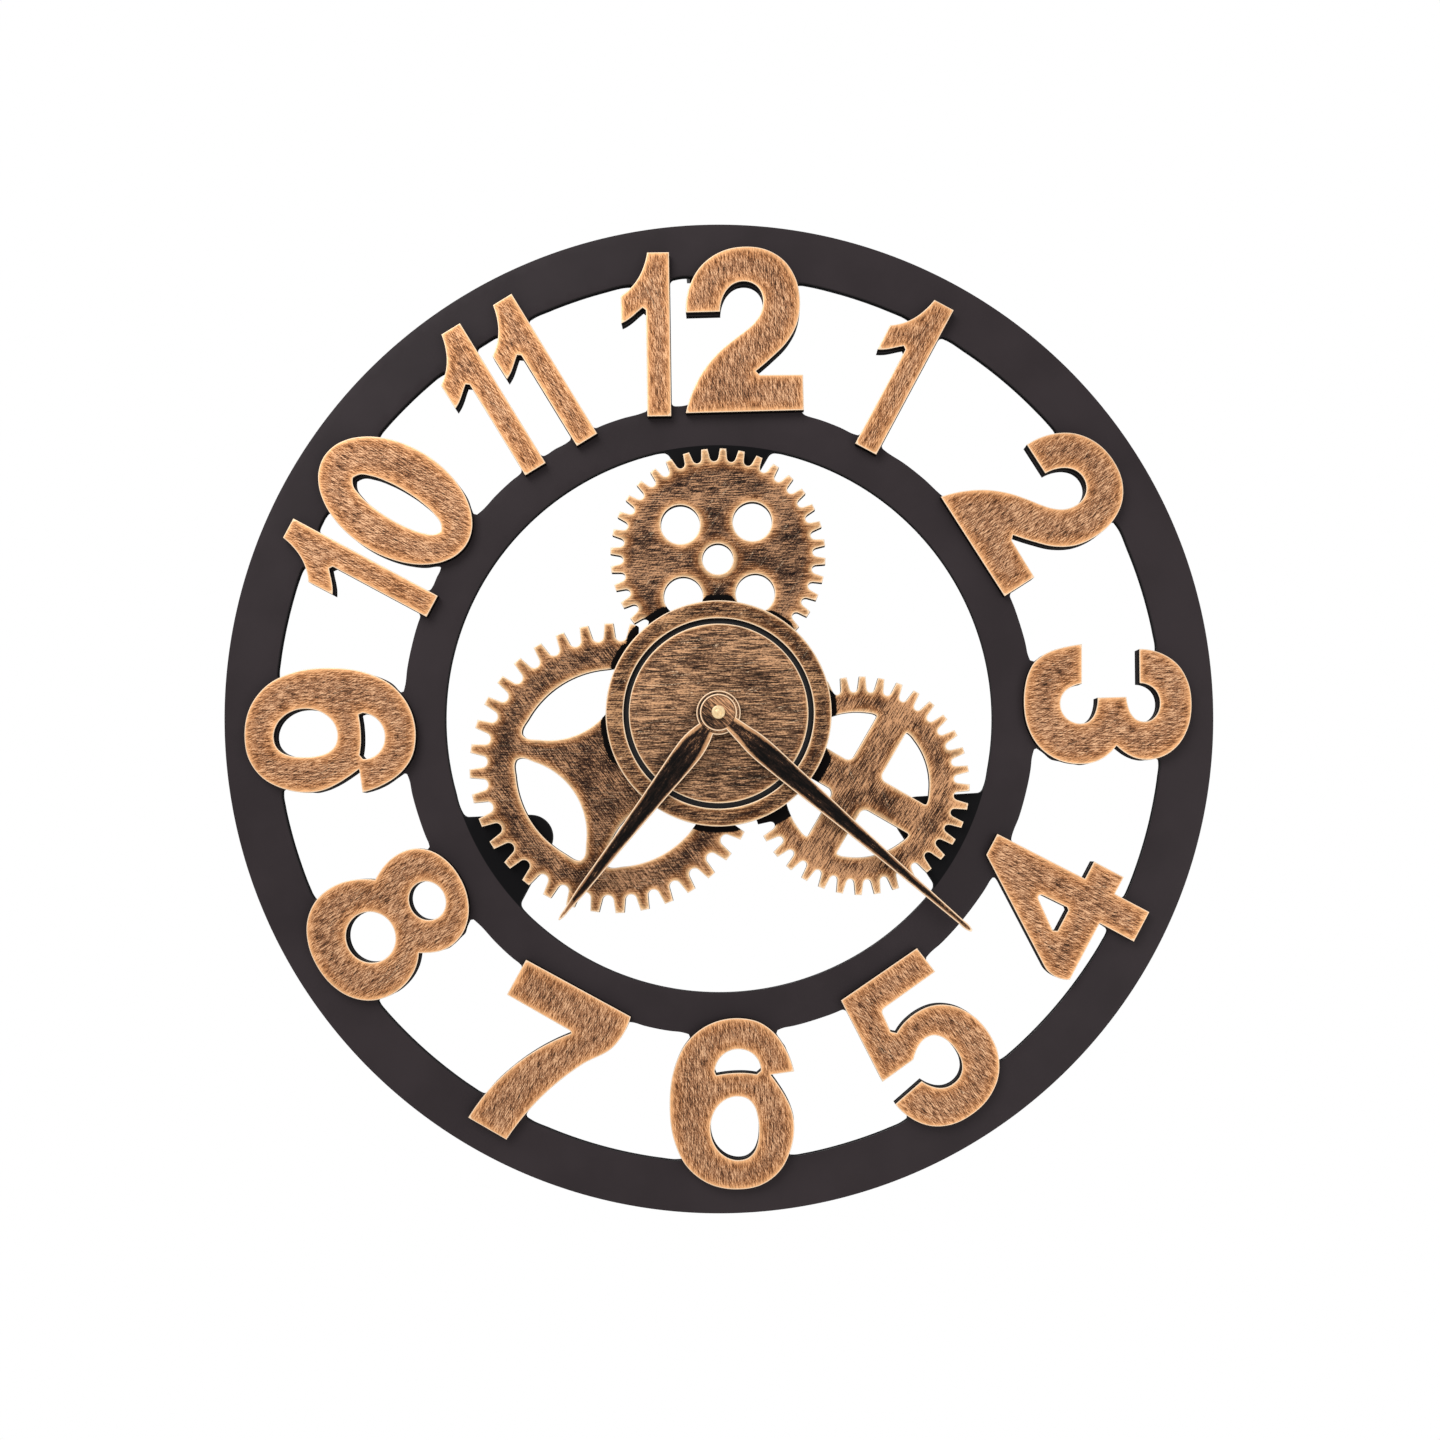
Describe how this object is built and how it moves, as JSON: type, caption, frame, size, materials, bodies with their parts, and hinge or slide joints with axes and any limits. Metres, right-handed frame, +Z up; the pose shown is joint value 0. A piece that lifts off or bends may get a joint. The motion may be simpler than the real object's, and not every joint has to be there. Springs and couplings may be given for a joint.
{
  "type": "wall clock",
  "caption": "Round wall clock: open double-ring frame with raised cut-out numbers, gear-shaped plates behind a central hub, two tapered hands and a battery movement.",
  "frame": {"origin": "on the wall face of the hanger, at 12 o'clock, above its keyhole; the rings' centre is 288 mm below and the board's back 14 mm in front", "axes": "+Z up, +X to the right as seen from the front, the front faces -Y, and the hands turn about an axis along +Y"},
  "size_m": [0.6, 0.0439, 0.6],
  "materials": {
    "black": "satin black enamel",
    "bronze": "black base dry-brushed with bronze, edges rubbed bright copper",
    "hands": "black enamel with copper rubbed edges",
    "brass": "turned, bright",
    "steel": "zinc plated",
    "case_plastic": "moulded, matt",
    "wheel_plastic": "moulded, pale",
    "rubber": "matt",
    "copper_wire": "enamelled copper winding",
    "circuit_laminate": "green solder mask",
    "cell_sleeve": "plain dark sleeve on a steel can"
  },
  "bodies": {
    "dial": {"frame_board": "black", "hub_base": "black", "wall_hanger": "black", "digit_1": "bronze", "digit_2": "bronze", "digit_3": "bronze", "digit_4": "bronze", "digit_5": "bronze", "digit_6": "bronze", "digit_7": "bronze", "digit_8": "bronze", "digit_9": "bronze", "digit_10_one": "bronze", "digit_10_zero": "bronze", "digit_11_left": "bronze", "digit_11_right": "bronze", "digit_12_one": "bronze", "digit_12_two": "bronze", "gear_plate_top": "bronze", "gear_plate_left": "bronze", "gear_plate_right": "bronze", "hub_ring": "bronze", "hub_disc": "bronze", "dial_nut": "brass", "dial_washer": "brass", "stator": "steel", "quartz_crystal": "steel", "contact_minus": "steel", "contact_plus": "steel", "tab_screw_top": "steel", "tab_screw_left": "steel", "tab_screw_right": "steel", "hub_screw_top": "steel", "hub_screw_left": "steel", "hub_screw_right": "steel", "movement_case": "case_plastic", "rear_cover": "case_plastic", "train_plate": "wheel_plastic", "gasket": "rubber", "wall_buffer_left": "rubber", "wall_buffer_right": "rubber", "coil": "copper_wire", "circuit_board": "circuit_laminate"},
    "minute_group": {"minute_hand": "hands", "cap_nut": "brass", "minute_arbor": "steel"},
    "hour_group": {"hour_hand": "hands", "hour_wheel": "wheel_plastic"},
    "motion_group": {"motion_wheel": "wheel_plastic"},
    "setting_group": {"setting_knob": "case_plastic"},
    "third_group": {"third_wheel": "wheel_plastic"},
    "rotor_group": {"rotor": "steel"},
    "cell_group": {"cell": "cell_sleeve"}
  },
  "joints": [
    {"name": "minute_hand_turn", "type": "hinge", "parent": "dial", "child": "minute_group", "pos_m": [0, -0.034, -0.2856], "axis": [0, 1, 0], "continuous": true},
    {"name": "hour_hand_turn", "type": "hinge", "parent": "dial", "child": "hour_group", "pos_m": [0, -0.034, -0.2856], "axis": [0, 1, 0], "continuous": true},
    {"name": "motion_wheel_turn", "type": "hinge", "parent": "dial", "child": "motion_group", "pos_m": [-0.00927, -0.0154, -0.28312], "axis": [0, 1, 0], "continuous": true},
    {"name": "setting_knob_turn", "type": "hinge", "parent": "dial", "child": "setting_group", "pos_m": [-0.00927, -0.006, -0.27352], "axis": [0, 1, 0], "continuous": true},
    {"name": "third_wheel_turn", "type": "hinge", "parent": "dial", "child": "third_group", "pos_m": [0.00469, -0.0125, -0.28002], "axis": [0, 1, 0], "continuous": true},
    {"name": "rotor_turn", "type": "hinge", "parent": "dial", "child": "rotor_group", "pos_m": [0.00929, -0.01, -0.2749], "axis": [0, 1, 0], "continuous": true},
    {"name": "cell_slide", "type": "slide", "parent": "dial", "child": "cell_group", "axis": [0, 1, 0], "range_m": [0, 0.03]}
  ],
  "couplings": [
    {"joint": "hour_hand_turn", "follows": "minute_hand_turn", "ratio": 0.083333},
    {"joint": "motion_wheel_turn", "follows": "minute_hand_turn", "ratio": -0.33333},
    {"joint": "setting_knob_turn", "follows": "minute_hand_turn", "ratio": 1},
    {"joint": "third_wheel_turn", "follows": "minute_hand_turn", "ratio": -8},
    {"joint": "rotor_turn", "follows": "minute_hand_turn", "ratio": 60}
  ]
}
